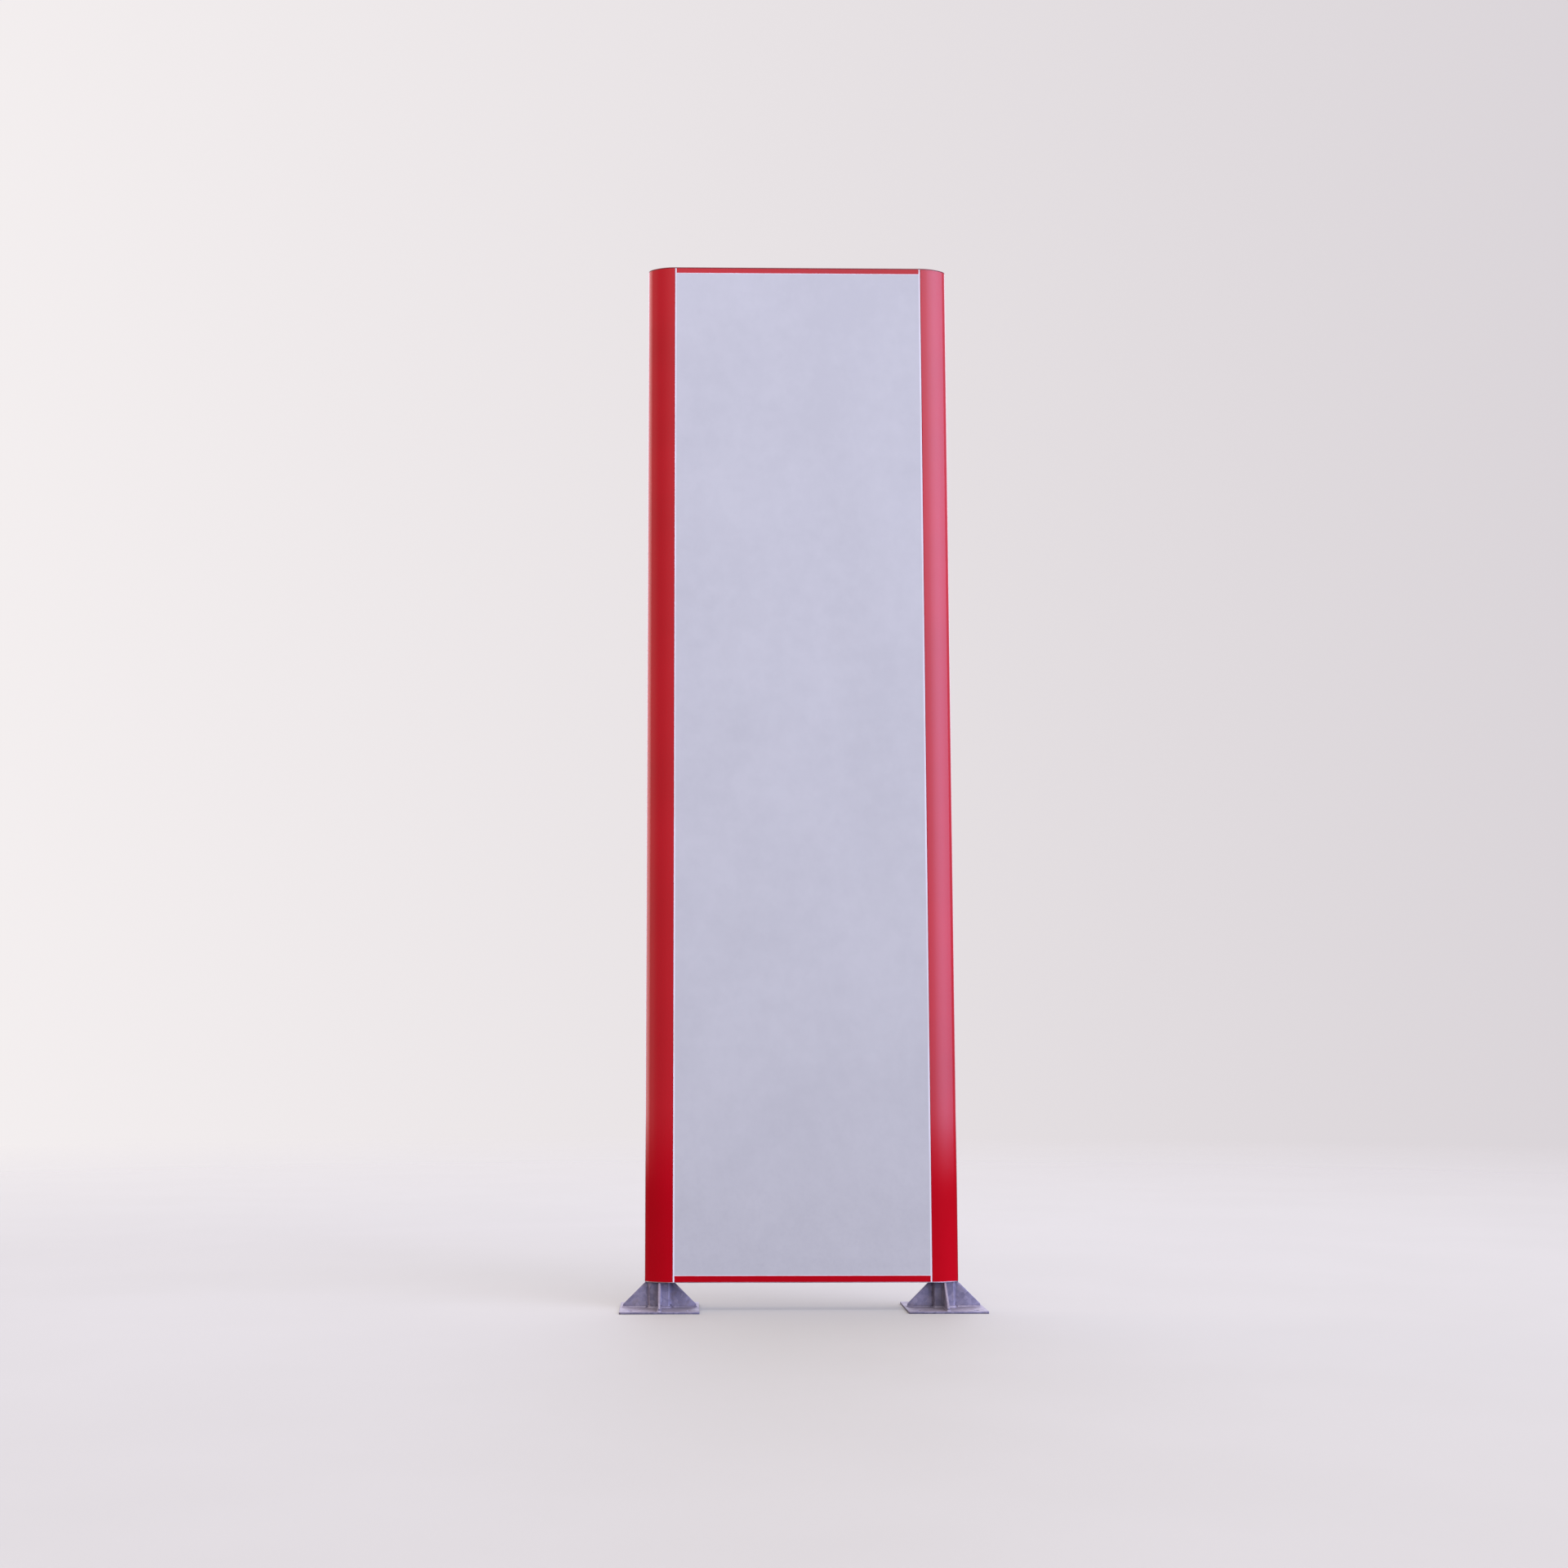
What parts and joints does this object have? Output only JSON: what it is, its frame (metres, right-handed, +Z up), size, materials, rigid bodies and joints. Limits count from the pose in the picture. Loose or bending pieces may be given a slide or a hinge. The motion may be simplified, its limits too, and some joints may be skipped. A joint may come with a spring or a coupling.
{
  "type": "free-standing partition wall",
  "caption": "Tall double-sided wall of pale infill panels between rounded red uprights, standing on galvanised steel feet with anchor plates.",
  "frame": {"origin": "on the floor, midway between the two feet and midway between the front and rear faces", "axes": "+X to the right along the wall seen from the front, +Y from the front face to the rear face, +Z up"},
  "size_m": [1.0136, 0.24, 3],
  "materials": {
    "red_paint": "gloss",
    "panel_face": "satin",
    "white_trim": "satin",
    "dark_cover": "satin",
    "bare_aluminium": "satin",
    "galvanised_steel": "matte",
    "zinc_plate": "satin",
    "black_plastic": "matte",
    "foam_tape": "matte"
  },
  "bodies": {
    "root": {"left_upright": "red_paint", "right_upright": "red_paint", "front_panel": "panel_face", "rear_panel": "panel_face", "front_left_trim": "white_trim", "front_right_trim": "white_trim", "rear_left_trim": "white_trim", "rear_right_trim": "white_trim", "front_head_bead": "white_trim", "front_foot_bead": "white_trim", "rear_head_bead": "white_trim", "rear_foot_bead": "white_trim", "head_channel": "red_paint", "foot_channel": "red_paint", "top_cover": "dark_cover", "middle_closer": "bare_aluminium", "left_closer": "bare_aluminium", "right_closer": "bare_aluminium", "foot_rail": "bare_aluminium", "lower_rail": "bare_aluminium", "middle_rail": "bare_aluminium", "upper_rail": "bare_aluminium", "head_rail": "bare_aluminium", "left_cleats": "zinc_plate", "right_cleats": "zinc_plate", "front_left_stiffener": "bare_aluminium", "front_right_stiffener": "bare_aluminium", "rear_left_stiffener": "bare_aluminium", "rear_right_stiffener": "bare_aluminium", "front_tape": "foam_tape", "rear_tape": "foam_tape", "left_post": "galvanised_steel", "right_post": "galvanised_steel", "left_post_cap": "black_plastic", "right_post_cap": "black_plastic", "left_base_plate": "galvanised_steel", "right_base_plate": "galvanised_steel", "left_outer_gusset": "galvanised_steel", "left_inner_gusset": "galvanised_steel", "left_front_gusset": "galvanised_steel", "left_rear_gusset": "galvanised_steel", "right_outer_gusset": "galvanised_steel", "right_inner_gusset": "galvanised_steel", "right_front_gusset": "galvanised_steel", "right_rear_gusset": "galvanised_steel", "left_post_bolts": "zinc_plate", "right_post_bolts": "zinc_plate", "left_post_washers": "zinc_plate", "right_post_washers": "zinc_plate", "left_cleat_screws": "zinc_plate", "right_cleat_screws": "zinc_plate", "top_cover_screws": "zinc_plate", "closer_screws": "zinc_plate"}
  },
  "joints": []
}
